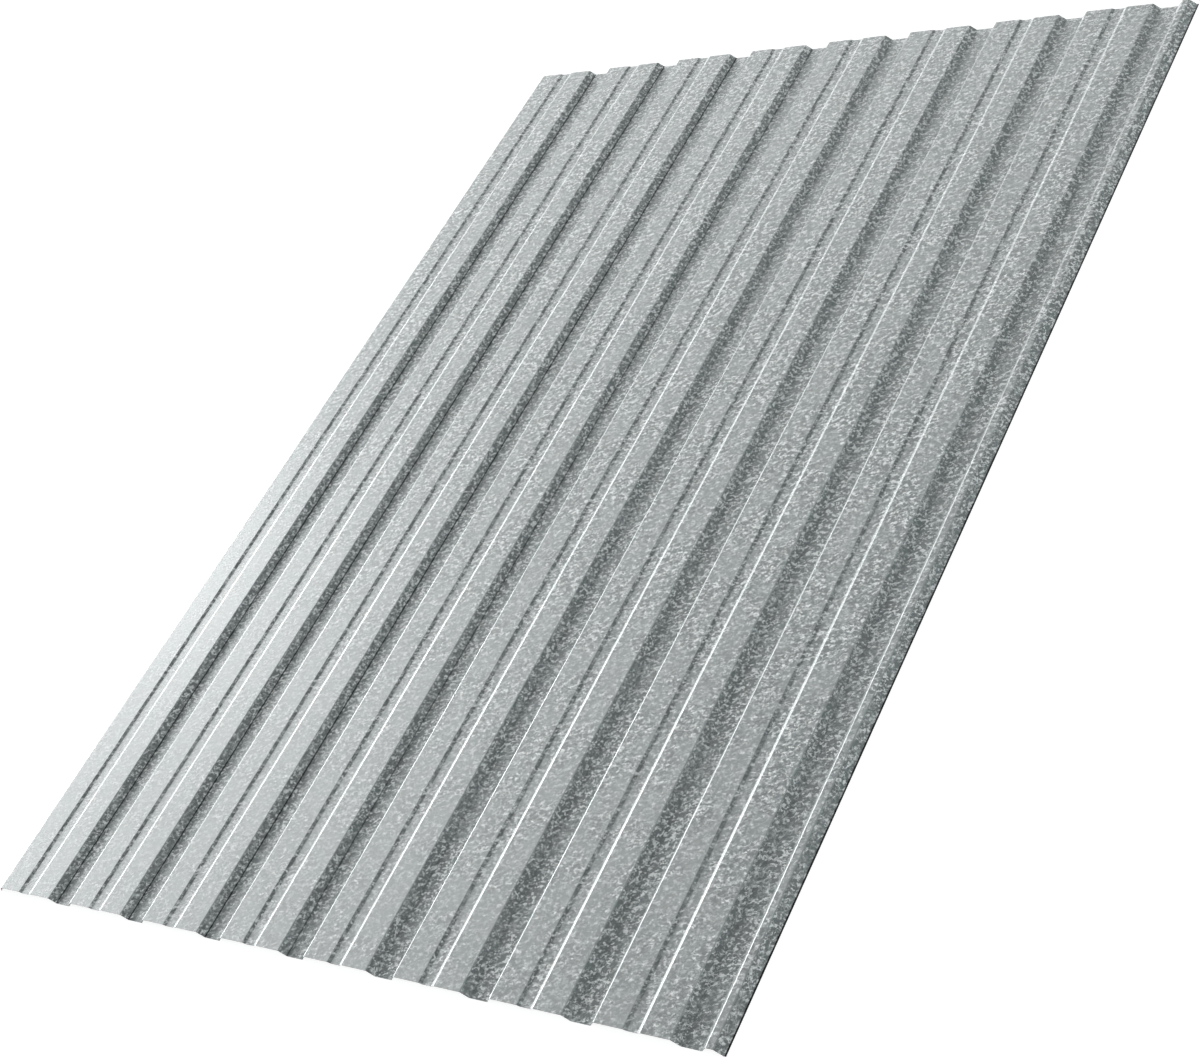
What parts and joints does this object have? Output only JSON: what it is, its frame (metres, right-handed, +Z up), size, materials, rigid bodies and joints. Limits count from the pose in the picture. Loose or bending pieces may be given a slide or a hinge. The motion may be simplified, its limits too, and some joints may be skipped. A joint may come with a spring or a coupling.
{
  "type": "corrugated metal sheet",
  "caption": "Flat-crested profiled sheet of galvanised steel with wide grooved crests, narrow valleys and a narrow lap crest on one edge; it laps with its like as cladding, fencing or roofing.",
  "frame": {"origin": "middle of the sheet's footprint, level with the underside of the valleys, which is the floor the sheet lies on", "axes": "+X across the waves towards the narrow lap crest, +Y along the sheet and its waves, +Z up from the floor"},
  "size_m": [1.1802, 1.7, 0.01],
  "materials": {
    "galvanised_steel": "bright hot-dip zinc coating with a fine spangle, satin"
  },
  "bodies": {
    "root": {"profiled_sheet": "galvanised_steel"}
  },
  "joints": []
}
